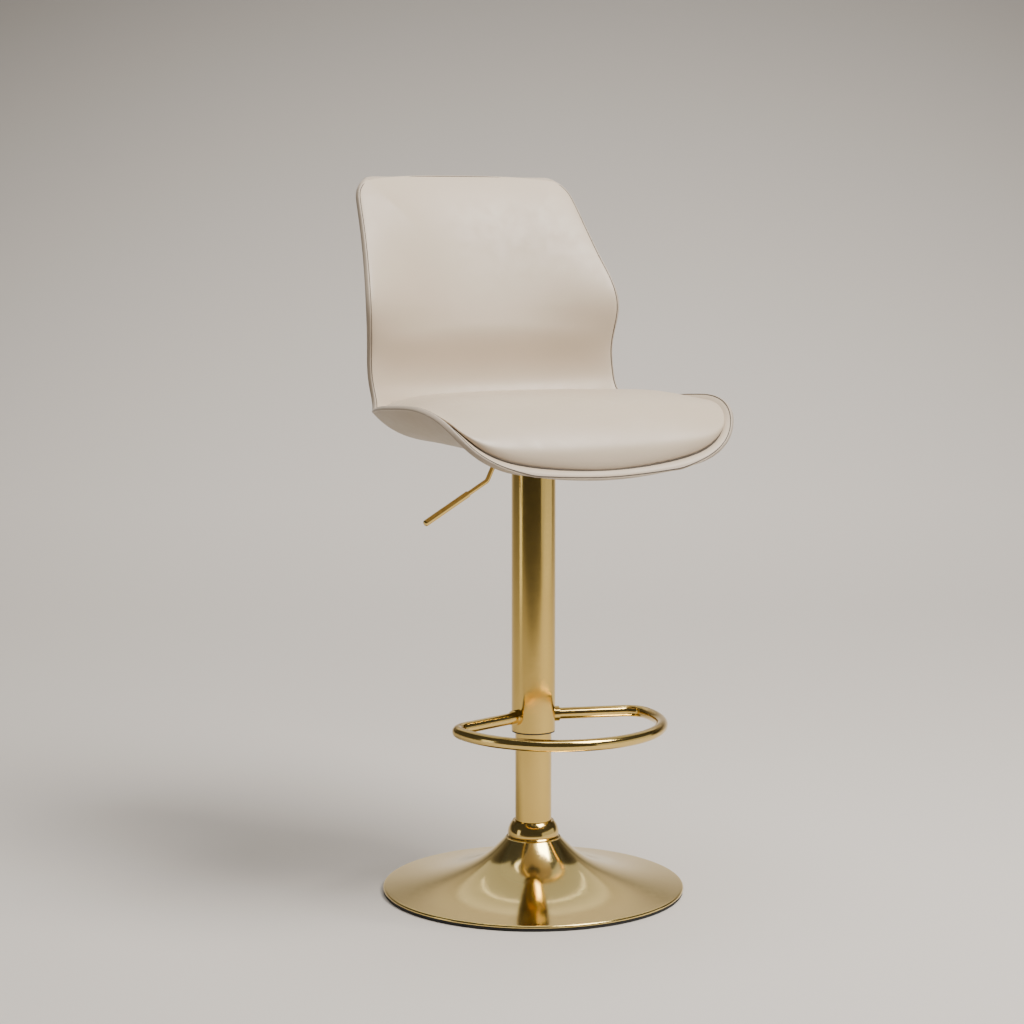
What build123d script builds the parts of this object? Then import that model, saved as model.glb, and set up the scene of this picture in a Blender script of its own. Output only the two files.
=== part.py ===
"""Height-adjustable bar stool: trumpet base, gas-lift column, footrest ring and scoop seat."""

import os
from math import cos, radians, sin, sqrt, tan

from build123d import *

# Frame: millimetres, +Z up, origin on the floor at the column's axis.
# The sitter faces -Y, and the sitter's right hand is at -X.

# Base
BASE_R = 207.5
DISH_SHEET = 2.0
DISH_LIP = 2.5
DISH_EDGE_R = 206.6
DISH_EDGE_Z = 7.5
DISH_EDGE_RISE = 1.2
DISH_TOP = ((36.5, 76), (50, 62), (75, 42), (110, 26), (150, 15.5), (204, 8.3))
RUBBER_HEIGHT = 4.8
RUBBER_R = 206.5
RUBBER_INNER_R = 197.0
RUBBER_CHAMFER = 0.8
COLLAR_TOP_R = 28.2
COLLAR_TOP = 98.0
COLLAR_SHOULDER = (32.2, 92.0)
COLLAR_R = 35.2
COLLAR_SIDE_TOP = 81.5
COLLAR_SIDE_BOTTOM = 79.0
COLLAR_GROOVE = (34.2, 77.6)
COLLAR_FOOT_R = 35.5
NECK_Z = 76.0
BALLAST_HUB_R = 34.0
BALLAST_TOP = 6.5
BALLAST_HUB_FLARE = 5.0
BALLAST_FLAT_R = 160.0
BALLAST_EDGE_TOP = 5.0
BALLAST_BOTTOM = 2.0
BALLAST_GAP = 2.0
HUB_TOP = 34.0
HUB_FLOOR = 17.0
NUT_RECESS_R = 24.0
STUD_R = 8.0
STUD_BOTTOM = 5.0
STUD_HOLE_R = 8.5
NUT_FLATS = 24.0
NUT_THICKNESS = 9.0
WASHER_THICKNESS = 2.2
WASHER_R = 20.0
WASHER_HOLE_R = 8.4
COVER_BOTTOM = 0.8
COVER_THICKNESS = 0.8
COVER_GAP = 0.1

# Column and gas spring
COLUMN_R = 25.0
COLUMN_WALL = 2.0
COLUMN_TOP = 480.0
PLUG_TOP = 62.0
BUSH_LENGTH = 40.0
BUSH_FLANGE = 2.0
BUSH_FLANGE_R = 24.8
RUNNING_GAP = 0.05
ROD_R = 5.0
ROD_BOTTOM = 46.0
ROD_POCKET_DEPTH = 17.0
RACE_R = 12.0
RACE_THICKNESS = 1.5
BALL_R = 1.5
BALL_COUNT = 10
BALL_CIRCLE_R = 9.0
BALL_PLAY = 0.02
CLIP_R = 7.5
CLIP_THICKNESS = 2.0
PRESSURE_R = 14.0
PRESSURE_WALL = 1.5
PRESSURE_BOTTOM = 200.0
GLAND_LENGTH = 16.0
PISTON_BOTTOM = 378.0
PISTON_LENGTH = 16.0
PISTON_GAP = 0.08
CONE_BOTTOM = 558.0
CONE_TOP = 588.0
CONE_TOP_R = 12.8
CHAMBER_TOP = 572.0
CHAMBER_SHOULDER = 552.0

# Sleeve and footrest
SLEEVE_R = 30.0
SLEEVE_WALL = 1.5
SLEEVE_BOTTOM = 224.0
SLEEVE_TOP = 584.0
SLEEVE_EDGE_R = 0.9
SLEEVE_CAP = 2.5
SLEEVE_BUSH_LENGTH = 26.0
SLEEVE_LIP = 1.5
SLEEVE_LIP_R = 29.6
FOOTREST_Z = 245.0
FOOTREST_TUBE_R = 8.0
FOOTREST_WALL = 1.5
FOOTREST_R = 144.0
FOOTREST_CENTRE_Y = -62.0
FOOTREST_BEND_R = 28.0
FOOTREST_BEND_X = 141.8
LEG_SWEEP = 17.0
LEG_ROOT = (22.0, -4.0)
WELD_R = 10.5
WELD_REACH = 6.0

# Seat plate, lever and release button
PLATE_SIZE = 130.0
PLATE_CORNER_R = 14.0
PLATE_BOTTOM = 610.4
PLATE_THICKNESS = 3.0
PLATE_HOLE_R = 10.0
SOCKET_R = 18.0
SOCKET_BOTTOM = 562.0
SOCKET_SLOT_MARGIN = 3.0
SOCKET_SLOT_HEIGHT = 16.0
BOLT_SPACING = 100.0
BOLT_R = 3.0
BOLT_HEAD_R = 5.5
BOLT_HEAD_THICKNESS = 4.0
BOLT_DRIVE = 4.0
BOLT_DRIVE_DEPTH = 2.5
BOLT_WASHER_R = 7.0
BOLT_WASHER_THICKNESS = 1.0
BOLT_HOLE_R = 3.4
SPACER_R = 8.0
INSERT_R = 4.5
INSERT_LENGTH = 3.2
HOLE_REACH = 22.0
# The pan rises to the back, so each row of bolts has its own spacer and insert heights: the row's
# y, the top of its spacers, and the bottom of its threaded inserts.
BOLT_ROWS = ((-50.0, 614.5, 617.7), (50.0, 619.4, 622.7))
PIVOT_X = -35.0
PIVOT_Z = 596.0
PIN_R = 2.5
EAR_INSIDE = 5.2
EAR_THICKNESS = 2.5
BRACKET_LENGTH = 20.0
BRACKET_DROP = 3.0
BRACKET_WEB = 1.5
PIN_PLAY = 0.2
PIN_HEAD_R = 3.8
PIN_HEAD_THICKNESS = 1.4
LEVER_R = 3.25
LEVER_HUB_R = 6.0
LEVER_HUB_PLAY = 0.4
LEVER_TIP_X = 6.0
LEVER_BEND_R = 8.0
LEVER_ROUTE = ((-59.0, 596.0), (-71.0, 571.5), (-160.0, 521.0))
GRIP_R = 4.5
GRIP_LENGTH = 75.0
GRIP_CAP = 6.0
GRIP_END_R = 3.5
BUTTON_R = 4.0
BUTTON_GAP = 0.25
BUTTON_DOME = 2.0
BUTTON_ROOT = 2.0

# Seat: stations across the scoop, from the front lip to the top of the back. Each gives the
# middle of the scoop (y, z), its half width, where its rim stands (y, z), and how late the
# section turns up towards its rim.
STATIONS = (
    (-205, 589.5, 109, -203, 597, 3.0),
    (-198, 598, 155, -200, 610, 3.0),
    (-181, 602.5, 192, -189, 634, 2.9),
    (-153, 608.5, 212.5, -163, 664, 3.6),
    (-105, 616, 224, -114, 681, 3.8),
    (-40, 621, 229, -44, 680.5, 4.0),
    (30, 624, 220, 30, 673, 4.9),
    (85, 629.5, 205, 72, 667.5, 4.9),
    (122, 654, 193, 100, 676, 3.1),
    (143, 695, 192, 115, 703, 2.4),
    (157, 745, 192, 118, 745, 2.3),
    (172, 798, 197, 108, 798, 2.3),
    (193, 860, 187, 138, 860, 2.3),
    (218, 925, 175, 180, 922, 2.3),
    (234, 962, 164, 208, 958, 2.6),
    (242, 980, 149, 222, 978, 3.0),
)
SECTION_SHARES = (-1, -0.8, -0.5, 0, 0.5, 0.8, 1)
# How much of an inset moves each of the first and last stations along the scoop, where the rim
# turns across it.
FRONT_SHARES = (1.0, 0.8, 0.55, 0.3)
TOP_SHARES = (1.0, 0.3)
EDGE_WIDTH = 3.5
SEAM_GAP = 0.9
OUTER_SKIN = (-4.0, -2.8)
SHELL_LAYER = (-2.6, 2.0)
INNER_SKIN = (2.3, 5.2)
EDGE_PROUD = 0.2
EDGE_CUT = 4.0
CUSHION_CLEARANCE = 0.8
UNDER_DEPTH = 80.0
CUSHION_BLOCK_Z = 606.0
CUSHION_BLOCK_HEIGHT = 120.0
CUSHION_HALF_WIDTH = 205.0
CUSHION_BACK_HALF_WIDTH = 180.0
CUSHION_TAPER_Y = -20.0
CUSHION_FRONT = -194.0
CUSHION_BACK = 142.0
CUSHION_FRONT_Z = 636.0
CUSHION_CROWN = ((-150, 668), (-60, 684), (30, 684), (142, 686))
CUSHION_CORNER_R = 75.0


def cone_radius(height):
    """Radius of the gas spring's taper at a height."""
    drop = (height - CONE_BOTTOM) / (CONE_TOP - CONE_BOTTOM)
    return PRESSURE_R - (PRESSURE_R - CONE_TOP_R) * drop


def section_curve(half_width, rise, power, inset, depth):
    """Points across the scoop: u = rise * |t|^power, moved along its normal by depth."""
    points = []
    for share in SECTION_SHARES:
        t = share * (half_width - inset) / half_width
        slope = rise * power * abs(t) ** (power - 1) / half_width
        slope = slope if t >= 0 else -slope
        length = sqrt(1 + slope**2)
        x = t * half_width - depth * slope / length
        points.append((x, rise * abs(t) ** power + depth / length))
    return points


def scoop_sections(inset, depths, end_shift=0.0):
    """Closed sections of one layer of the scoop, ready to loft from lip to top."""
    stations = [list(station) for station in STATIONS]
    for station, share in zip(stations, FRONT_SHARES):
        station[0] += end_shift * share
        station[3] += end_shift * share
    for station, share in zip(reversed(stations), TOP_SHARES):
        station[1] -= end_shift * share
        station[4] -= end_shift * share
    sections = []
    for centre_y, centre_z, half_width, rim_y, rim_z, power in stations:
        up = Vector(0, rim_y - centre_y, rim_z - centre_z)
        across = Vector(1, 0, 0)
        plane = Plane(origin=(0, centre_y, centre_z), x_dir=across, z_dir=across.cross(up))
        with BuildSketch(plane) as section:
            with BuildLine():
                low = Spline(*section_curve(half_width, up.length, power, inset, depths[0]))
                high = Spline(*section_curve(half_width, up.length, power, inset, depths[1]))
                Line(low @ 0, high @ 0)
                Line(low @ 1, high @ 1)
            make_face()
        sections.append(section.sketch)
    return sections


pieces = {}

# Base: a spun dish over a ballast disc, standing on a rubber ring.
dish_under = [(radius, height - DISH_SHEET) for radius, height in DISH_TOP]
with BuildPart() as base_dish:
    with BuildSketch(Plane.XZ):
        with BuildLine():
            top = Spline(*DISH_TOP)
            under = Spline(*dish_under)
            edge = (BASE_R, RUBBER_HEIGHT + DISH_EDGE_RISE)
            lip = ThreePointArc(top @ 1, (DISH_EDGE_R, DISH_EDGE_Z), edge)
            Polyline(
                lip @ 1,
                (BASE_R, RUBBER_HEIGHT),
                (BASE_R - DISH_LIP, RUBBER_HEIGHT),
                under @ 1,
            )
            Line(top @ 0, under @ 0)
        make_face()
    revolve(axis=Axis.Z)
pieces["base_dish"] = base_dish

with BuildPart() as base_rubber_ring:
    with BuildSketch(Plane.XY):
        Circle(RUBBER_R)
        Circle(RUBBER_INNER_R, mode=Mode.SUBTRACT)
    extrude(amount=RUBBER_HEIGHT)
    chamfer(base_rubber_ring.edges().group_by(Axis.Z)[0], RUBBER_CHAMFER)
pieces["base_rubber_ring"] = base_rubber_ring

with BuildPart() as ballast_disc:
    with BuildSketch(Plane.XZ):
        with BuildLine():
            Polyline(
                (STUD_HOLE_R, HUB_TOP),
                (BALLAST_HUB_R, HUB_TOP),
                (BALLAST_HUB_R + BALLAST_HUB_FLARE, BALLAST_TOP),
                (BALLAST_FLAT_R, BALLAST_TOP),
                (RUBBER_INNER_R - BALLAST_GAP, BALLAST_EDGE_TOP),
                (RUBBER_INNER_R - BALLAST_GAP, BALLAST_BOTTOM),
                (NUT_RECESS_R, BALLAST_BOTTOM),
                (NUT_RECESS_R, HUB_FLOOR),
                (STUD_HOLE_R, HUB_FLOOR),
                close=True,
            )
        make_face()
    revolve(axis=Axis.Z)
pieces["ballast_disc"] = ballast_disc

with BuildPart() as bottom_cover:
    with BuildSketch(Plane.XY.offset(COVER_BOTTOM)):
        Circle(RUBBER_INNER_R - COVER_GAP)
    extrude(amount=COVER_THICKNESS)
pieces["bottom_cover"] = bottom_cover

with BuildPart() as base_collar:
    with BuildSketch(Plane.XZ):
        with BuildLine():
            shoulder = ThreePointArc(
                (COLLAR_TOP_R, COLLAR_TOP),
                COLLAR_SHOULDER,
                (COLLAR_R, COLLAR_SIDE_TOP),
            )
            Polyline(
                shoulder @ 1,
                (COLLAR_R, COLLAR_SIDE_BOTTOM),
                COLLAR_GROOVE,
                (COLLAR_FOOT_R, NECK_Z),
                (COLUMN_R, NECK_Z),
                (COLUMN_R, COLLAR_TOP),
                shoulder @ 0,
            )
        make_face()
    revolve(axis=Axis.Z)
pieces["base_collar"] = base_collar

with BuildPart() as column_tube:
    with BuildSketch(Plane.XY.offset(HUB_TOP)):
        Circle(COLUMN_R)
        Circle(COLUMN_R - COLUMN_WALL, mode=Mode.SUBTRACT)
    extrude(amount=COLUMN_TOP - HUB_TOP)
pieces["column_tube"] = column_tube

with BuildPart() as column_plug:
    with BuildSketch(Plane.XY.offset(HUB_TOP)):
        Circle(COLUMN_R - COLUMN_WALL)
    extrude(amount=PLUG_TOP - HUB_TOP)
    with BuildSketch(Plane.XY.offset(STUD_BOTTOM)):
        Circle(STUD_R)
    extrude(amount=HUB_TOP - STUD_BOTTOM)
    with BuildSketch(Plane.XY.offset(PLUG_TOP - ROD_POCKET_DEPTH)):
        Circle(ROD_R + RUNNING_GAP)
    extrude(amount=ROD_POCKET_DEPTH, mode=Mode.SUBTRACT)
pieces["column_plug"] = column_plug

with BuildPart() as base_washer:
    with BuildSketch(Plane.XY.offset(HUB_FLOOR - WASHER_THICKNESS)):
        Circle(WASHER_R)
        Circle(WASHER_HOLE_R, mode=Mode.SUBTRACT)
    extrude(amount=WASHER_THICKNESS)
pieces["base_washer"] = base_washer

with BuildPart() as base_nut:
    with BuildSketch(Plane.XY.offset(HUB_FLOOR - WASHER_THICKNESS - NUT_THICKNESS)):
        RegularPolygon(NUT_FLATS / 2, 6, major_radius=False)
        Circle(STUD_R, mode=Mode.SUBTRACT)
    extrude(amount=NUT_THICKNESS)
pieces["base_nut"] = base_nut

with BuildPart() as column_bush:
    with BuildSketch(Plane.XY.offset(COLUMN_TOP - BUSH_LENGTH)):
        Circle(COLUMN_R - COLUMN_WALL)
    extrude(amount=BUSH_LENGTH)
    with BuildSketch(Plane.XY.offset(COLUMN_TOP)):
        Circle(BUSH_FLANGE_R)
    extrude(amount=BUSH_FLANGE)
    with BuildSketch(Plane.XY.offset(COLUMN_TOP - BUSH_LENGTH)):
        Circle(PRESSURE_R + RUNNING_GAP)
    extrude(amount=BUSH_LENGTH + BUSH_FLANGE, mode=Mode.SUBTRACT)
pieces["column_bush"] = column_bush

# Thrust bearing under the gas spring's rod: a fixed race, balls, and a race that turns.
with BuildPart() as bearing_lower_race:
    with BuildSketch(Plane.XY.offset(PLUG_TOP)):
        Circle(RACE_R)
        Circle(ROD_R + RUNNING_GAP, mode=Mode.SUBTRACT)
    extrude(amount=RACE_THICKNESS)
pieces["bearing_lower_race"] = bearing_lower_race

BALL_Z = PLUG_TOP + RACE_THICKNESS + BALL_R + BALL_PLAY
with BuildPart() as bearing_balls:
    with Locations((0, 0, BALL_Z)):
        with PolarLocations(BALL_CIRCLE_R, BALL_COUNT):
            Sphere(BALL_R)
pieces["bearing_balls"] = bearing_balls

UPPER_RACE_Z = BALL_Z + BALL_R + BALL_PLAY
with BuildPart() as bearing_upper_race:
    with BuildSketch(Plane.XY.offset(UPPER_RACE_Z)):
        Circle(RACE_R)
        Circle(ROD_R, mode=Mode.SUBTRACT)
    extrude(amount=RACE_THICKNESS)
pieces["bearing_upper_race"] = bearing_upper_race

with BuildPart() as rod_clip:
    with BuildSketch(Plane.XY.offset(UPPER_RACE_Z + RACE_THICKNESS)):
        Circle(CLIP_R)
        Circle(ROD_R, mode=Mode.SUBTRACT)
    extrude(amount=CLIP_THICKNESS)
pieces["rod_clip"] = rod_clip

with BuildPart() as piston_rod:
    with BuildSketch(Plane.XY.offset(ROD_BOTTOM)):
        Circle(ROD_R)
    extrude(amount=PISTON_BOTTOM + PISTON_LENGTH - ROD_BOTTOM)
pieces["piston_rod"] = piston_rod

with BuildPart() as piston:
    with BuildSketch(Plane.XY.offset(PISTON_BOTTOM)):
        Circle(PRESSURE_R - PRESSURE_WALL - PISTON_GAP)
        Circle(ROD_R, mode=Mode.SUBTRACT)
    extrude(amount=PISTON_LENGTH)
pieces["piston"] = piston

with BuildPart() as pressure_tube:
    with BuildSketch(Plane.XZ):
        with BuildLine():
            Polyline(
                (PRESSURE_R, PRESSURE_BOTTOM),
                (PRESSURE_R, CONE_BOTTOM),
                (CONE_TOP_R, CONE_TOP),
                (BUTTON_R + RUNNING_GAP, CONE_TOP),
                (BUTTON_R + RUNNING_GAP, CHAMBER_TOP),
                (cone_radius(CHAMBER_TOP) - 2 * PRESSURE_WALL, CHAMBER_TOP),
                (PRESSURE_R - PRESSURE_WALL, CHAMBER_SHOULDER),
                (PRESSURE_R - PRESSURE_WALL, PRESSURE_BOTTOM),
                close=True,
            )
        make_face()
    revolve(axis=Axis.Z)
pieces["pressure_tube"] = pressure_tube

with BuildPart() as rod_gland:
    with BuildSketch(Plane.XY.offset(PRESSURE_BOTTOM)):
        Circle(PRESSURE_R - PRESSURE_WALL)
        Circle(ROD_R + RUNNING_GAP, mode=Mode.SUBTRACT)
    extrude(amount=GLAND_LENGTH)
pieces["rod_gland"] = rod_gland

# Sleeve: hides the gas spring, slides over the column and carries the footrest.
with BuildPart() as sleeve_tube:
    with BuildSketch(Plane.XY.offset(SLEEVE_BOTTOM)):
        Circle(SLEEVE_R)
        Circle(SLEEVE_R - SLEEVE_WALL, mode=Mode.SUBTRACT)
    extrude(amount=SLEEVE_TOP - SLEEVE_BOTTOM)
    fillet(sleeve_tube.edges().group_by(Axis.Z)[0].sort_by(SortBy.RADIUS)[-1], SLEEVE_EDGE_R)
pieces["sleeve_tube"] = sleeve_tube

with BuildPart() as sleeve_cap:
    with BuildSketch(Plane.XY.offset(SLEEVE_TOP)):
        Circle(SLEEVE_R)
        Circle(SOCKET_R, mode=Mode.SUBTRACT)
    extrude(amount=SLEEVE_CAP)
pieces["sleeve_cap"] = sleeve_cap

with BuildPart() as sleeve_bush:
    with BuildSketch(Plane.XY.offset(SLEEVE_BOTTOM)):
        Circle(SLEEVE_R - SLEEVE_WALL)
    extrude(amount=SLEEVE_BUSH_LENGTH)
    with BuildSketch(Plane.XY.offset(SLEEVE_BOTTOM - SLEEVE_LIP)):
        Circle(SLEEVE_LIP_R)
    extrude(amount=SLEEVE_LIP)
    with BuildSketch(Plane.XY.offset(SLEEVE_BOTTOM - SLEEVE_LIP)):
        Circle(COLUMN_R + RUNNING_GAP)
    extrude(amount=SLEEVE_LIP + SLEEVE_BUSH_LENGTH, mode=Mode.SUBTRACT)
pieces["sleeve_bush"] = sleeve_bush

# Footrest: one bent tube, its legs swept forward from the sleeve, closed by a round front.
leg_slope = tan(radians(LEG_SWEEP))
leg_end_y = LEG_ROOT[1] - (FOOTREST_BEND_X - LEG_ROOT[0]) * leg_slope
leg_plane = Plane.XY.offset(FOOTREST_Z)
leg_dir = Vector(cos(radians(LEG_SWEEP)), -sin(radians(LEG_SWEEP)), 0)
leg_root = Vector(LEG_ROOT[0], LEG_ROOT[1], FOOTREST_Z)
with BuildPart() as footrest_loop:
    with BuildLine(leg_plane) as loop_path:
        Line(LEG_ROOT, (FOOTREST_BEND_X, leg_end_y))
        ThreePointArc(
            (FOOTREST_BEND_X, leg_end_y),
            (0, FOOTREST_CENTRE_Y - FOOTREST_R),
            (-FOOTREST_BEND_X, leg_end_y),
        )
        Line((-FOOTREST_BEND_X, leg_end_y), (-LEG_ROOT[0], LEG_ROOT[1]))
        corners = [v for v in loop_path.vertices() if abs(v.X) > FOOTREST_BEND_X - 1]
        fillet(corners, FOOTREST_BEND_R)
    with BuildSketch(Plane(origin=leg_root, z_dir=leg_dir)):
        Circle(FOOTREST_TUBE_R)
        Circle(FOOTREST_TUBE_R - FOOTREST_WALL, mode=Mode.SUBTRACT)
    sweep(path=loop_path.wires()[0])
    with BuildSketch(leg_plane):
        Circle(SLEEVE_R)
    extrude(amount=2 * FOOTREST_TUBE_R, both=True, mode=Mode.SUBTRACT)
pieces["footrest_loop"] = footrest_loop

with BuildPart() as footrest_welds:
    for side in (1, -1):
        out = Vector(side * leg_dir.X, leg_dir.Y, 0)
        root = Vector(side * leg_root.X, leg_root.Y, FOOTREST_Z)
        with BuildSketch(Plane(origin=root, z_dir=out)):
            Circle(WELD_R)
            Circle(FOOTREST_TUBE_R, mode=Mode.SUBTRACT)
        extrude(amount=SLEEVE_R - LEG_ROOT[0] + WELD_REACH)
    with BuildSketch(leg_plane):
        Circle(SLEEVE_R)
    extrude(amount=2 * WELD_R, both=True, mode=Mode.SUBTRACT)
pieces["footrest_welds"] = footrest_welds

# Seat plate, the socket on the gas spring's taper, and the bolts into the seat shell.
with BuildPart() as seat_plate:
    with BuildSketch(Plane.XY.offset(PLATE_BOTTOM)):
        RectangleRounded(PLATE_SIZE, PLATE_SIZE, PLATE_CORNER_R)
        Circle(PLATE_HOLE_R, mode=Mode.SUBTRACT)
        with GridLocations(BOLT_SPACING, BOLT_SPACING, 2, 2):
            Circle(BOLT_HOLE_R, mode=Mode.SUBTRACT)
    extrude(amount=PLATE_THICKNESS)
pieces["seat_plate"] = seat_plate

with BuildPart() as cone_socket:
    with BuildSketch(Plane.XZ):
        with BuildLine():
            Polyline(
                (SOCKET_R, SOCKET_BOTTOM),
                (SOCKET_R, PLATE_BOTTOM),
                (CONE_TOP_R, PLATE_BOTTOM),
                (CONE_TOP_R, CONE_TOP),
                (cone_radius(SOCKET_BOTTOM), SOCKET_BOTTOM),
                close=True,
            )
        make_face()
    revolve(axis=Axis.Z)
    with BuildSketch(Plane.XY.offset(CONE_TOP)):
        with Locations((-SOCKET_R, 0)):
            Rectangle(2 * SOCKET_R, 2 * LEVER_R + SOCKET_SLOT_MARGIN)
    extrude(amount=SOCKET_SLOT_HEIGHT, mode=Mode.SUBTRACT)
pieces["cone_socket"] = cone_socket

BOLT_SEAT = PLATE_BOTTOM - BOLT_WASHER_THICKNESS
with BuildPart() as plate_bolts:
    for row_y, spacer_top, insert_bottom in BOLT_ROWS:
        with BuildSketch(Plane.XY.offset(BOLT_SEAT)):
            with Locations((-BOLT_SPACING / 2, row_y), (BOLT_SPACING / 2, row_y)):
                Circle(BOLT_R)
        extrude(amount=insert_bottom + INSERT_LENGTH - BOLT_SEAT)
    with BuildSketch(Plane.XY.offset(BOLT_SEAT - BOLT_HEAD_THICKNESS)):
        with GridLocations(BOLT_SPACING, BOLT_SPACING, 2, 2):
            Circle(BOLT_HEAD_R)
    extrude(amount=BOLT_HEAD_THICKNESS)
    with BuildSketch(Plane.XY.offset(BOLT_SEAT - BOLT_HEAD_THICKNESS)):
        with GridLocations(BOLT_SPACING, BOLT_SPACING, 2, 2):
            RegularPolygon(BOLT_DRIVE / 2, 6, major_radius=False)
    extrude(amount=BOLT_DRIVE_DEPTH, mode=Mode.SUBTRACT)
pieces["plate_bolts"] = plate_bolts

with BuildPart() as bolt_washers:
    with BuildSketch(Plane.XY.offset(BOLT_SEAT)):
        with GridLocations(BOLT_SPACING, BOLT_SPACING, 2, 2):
            Circle(BOLT_WASHER_R)
            Circle(BOLT_HOLE_R, mode=Mode.SUBTRACT)
    extrude(amount=BOLT_WASHER_THICKNESS)
pieces["bolt_washers"] = bolt_washers

# Spacers fill the space between the flat plate and the rising underside of the pan.
with BuildPart() as plate_spacers:
    for row_y, spacer_top, insert_bottom in BOLT_ROWS:
        with BuildSketch(Plane.XY.offset(PLATE_BOTTOM + PLATE_THICKNESS)):
            with Locations((-BOLT_SPACING / 2, row_y), (BOLT_SPACING / 2, row_y)):
                Circle(SPACER_R)
                Circle(BOLT_HOLE_R, mode=Mode.SUBTRACT)
        extrude(amount=spacer_top - PLATE_BOTTOM - PLATE_THICKNESS)
pieces["plate_spacers"] = plate_spacers

# Lever: a bent rod on a pin below the plate; its tip presses the gas spring's button.
bracket_height = 2 * (PLATE_BOTTOM - PIVOT_Z - BRACKET_DROP)
with BuildPart() as lever_bracket:
    with BuildSketch(Plane.YZ.offset(PIVOT_X - BRACKET_LENGTH / 2)):
        with Locations((0, PIVOT_Z + BRACKET_DROP)):
            Rectangle(2 * (EAR_INSIDE + EAR_THICKNESS), bracket_height)
        with Locations((0, PIVOT_Z + BRACKET_DROP - BRACKET_WEB)):
            Rectangle(2 * EAR_INSIDE, bracket_height, mode=Mode.SUBTRACT)
    extrude(amount=BRACKET_LENGTH)
    with BuildSketch(Plane.XZ.offset(-EAR_INSIDE - EAR_THICKNESS)):
        with Locations((PIVOT_X, PIVOT_Z)):
            Circle(PIN_R)
    extrude(amount=2 * (EAR_INSIDE + EAR_THICKNESS), mode=Mode.SUBTRACT)
pieces["lever_bracket"] = lever_bracket

PIN_HALF = EAR_INSIDE + EAR_THICKNESS + PIN_PLAY
with BuildPart() as lever_pivot_pin:
    with BuildSketch(Plane.XZ.offset(-PIN_HALF)):
        with Locations((PIVOT_X, PIVOT_Z)):
            Circle(PIN_R)
    extrude(amount=2 * PIN_HALF)
    for head_y in (-PIN_HALF - PIN_HEAD_THICKNESS, PIN_HALF):
        with BuildSketch(Plane.XZ.offset(head_y)):
            with Locations((PIVOT_X, PIVOT_Z)):
                Circle(PIN_HEAD_R)
        extrude(amount=PIN_HEAD_THICKNESS)
pieces["lever_pivot_pin"] = lever_pivot_pin

lever_tip = (LEVER_TIP_X, PIVOT_Z)
with BuildPart() as lever_rod:
    with BuildLine(Plane.XZ) as lever_path:
        FilletPolyline(lever_tip, *LEVER_ROUTE, radius=LEVER_BEND_R)
    with BuildSketch(Plane(origin=(LEVER_TIP_X, 0, PIVOT_Z), z_dir=(-1, 0, 0))):
        Circle(LEVER_R)
    sweep(path=lever_path.wires()[0])
    with BuildSketch(Plane.XZ.offset(-EAR_INSIDE + LEVER_HUB_PLAY)):
        with Locations((PIVOT_X, PIVOT_Z)):
            Circle(LEVER_HUB_R)
    extrude(amount=2 * (EAR_INSIDE - LEVER_HUB_PLAY))
    with BuildSketch(Plane.XZ.offset(-EAR_INSIDE)):
        with Locations((PIVOT_X, PIVOT_Z)):
            Circle(PIN_R + RUNNING_GAP)
    extrude(amount=2 * EAR_INSIDE, mode=Mode.SUBTRACT)
pieces["lever_rod"] = lever_rod

lever_bend, lever_end = LEVER_ROUTE[-2:]
run = Vector(lever_end[0] - lever_bend[0], 0, lever_end[1] - lever_bend[1]).normalized()
grip_end = Vector(lever_end[0], 0, lever_end[1]) + run * GRIP_CAP
with BuildPart() as lever_grip:
    with BuildSketch(Plane(origin=grip_end, z_dir=-run)):
        Circle(GRIP_R)
    extrude(amount=GRIP_LENGTH)
    fillet(lever_grip.edges().sort_by(Axis.X)[0], GRIP_END_R)
    with BuildSketch(Plane(origin=grip_end - run * GRIP_CAP, z_dir=-run)):
        Circle(LEVER_R)
    extrude(amount=GRIP_LENGTH, mode=Mode.SUBTRACT)
pieces["lever_grip"] = lever_grip

with BuildPart() as release_button:
    with BuildSketch(Plane.XY.offset(CHAMBER_TOP - BUTTON_ROOT)):
        Circle(BUTTON_R)
    extrude(amount=PIVOT_Z - LEVER_R - BUTTON_GAP - CHAMBER_TOP + BUTTON_ROOT)
    fillet(release_button.edges().group_by(Axis.Z)[-1], BUTTON_DOME)
pieces["release_button"] = release_button

# Seat: a moulded shell between two leather skins, edged all round, with a loose cushion.
shell_sections = scoop_sections(EDGE_WIDTH, SHELL_LAYER, EDGE_WIDTH)
with BuildPart() as seat_shell:
    loft(shell_sections)
    with BuildSketch(Plane.XY.offset(PLATE_BOTTOM)):
        with GridLocations(BOLT_SPACING, BOLT_SPACING, 2, 2):
            Circle(INSERT_R)
    extrude(amount=HOLE_REACH, mode=Mode.SUBTRACT)
pieces["seat_shell"] = seat_shell

with BuildPart() as shell_inserts:
    for row_y, spacer_top, insert_bottom in BOLT_ROWS:
        with BuildSketch(Plane.XY.offset(insert_bottom)):
            with Locations((-BOLT_SPACING / 2, row_y), (BOLT_SPACING / 2, row_y)):
                Circle(INSERT_R)
                Circle(BOLT_R, mode=Mode.SUBTRACT)
        extrude(amount=INSERT_LENGTH)
pieces["shell_inserts"] = shell_inserts

outer_sections = scoop_sections(EDGE_WIDTH, OUTER_SKIN, EDGE_WIDTH)
with BuildPart() as outer_cover:
    loft(outer_sections)
    with BuildSketch(Plane.XY.offset(PLATE_BOTTOM)):
        with GridLocations(BOLT_SPACING, BOLT_SPACING, 2, 2):
            Circle(INSERT_R)
    extrude(amount=HOLE_REACH, mode=Mode.SUBTRACT)
pieces["outer_cover"] = outer_cover

inner_sections = scoop_sections(EDGE_WIDTH, INNER_SKIN, EDGE_WIDTH)
with BuildPart() as inner_cover:
    loft(inner_sections)
pieces["inner_cover"] = inner_cover

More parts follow.
